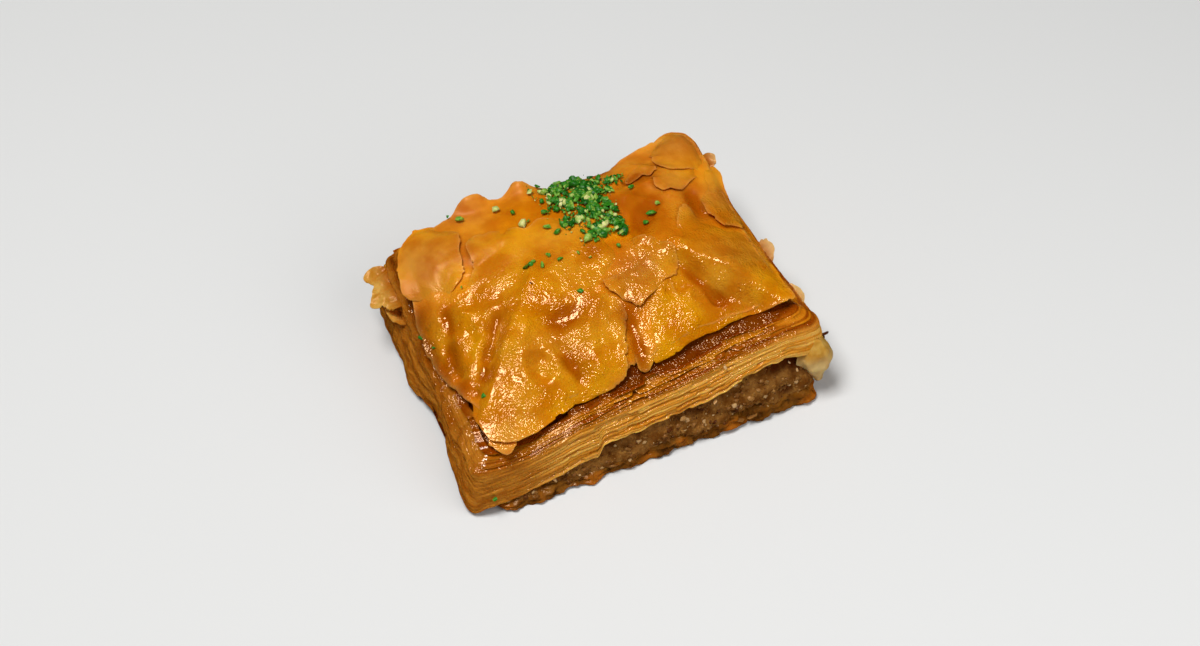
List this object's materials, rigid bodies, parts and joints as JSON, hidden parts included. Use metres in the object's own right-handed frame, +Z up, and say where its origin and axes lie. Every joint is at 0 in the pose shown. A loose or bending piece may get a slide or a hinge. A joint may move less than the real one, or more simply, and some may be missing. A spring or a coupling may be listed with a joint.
{
  "type": "baklava piece",
  "caption": "A cut piece of baklava with a dark syrupy base, ground walnut filling, pale and amber pastry layers, a puffed torn top leaf and chopped pistachio",
  "frame": {"origin": "the middle of the piece's footprint, on the surface that it rests on", "axes": "+X along the longer side, +Y along the shorter side towards the back, +Z up"},
  "size_m": [0.0604, 0.0451, 0.0223],
  "materials": {
    "caramelised_pastry": "gloss",
    "walnut_filling": "satin",
    "golden_pastry": "gloss",
    "pistachio": "satin"
  },
  "bodies": {
    "root": {"base_leaves": "caramelised_pastry", "nut_filling": "walnut_filling", "upper_leaves": "golden_pastry"}
  },
  "joints": []
}
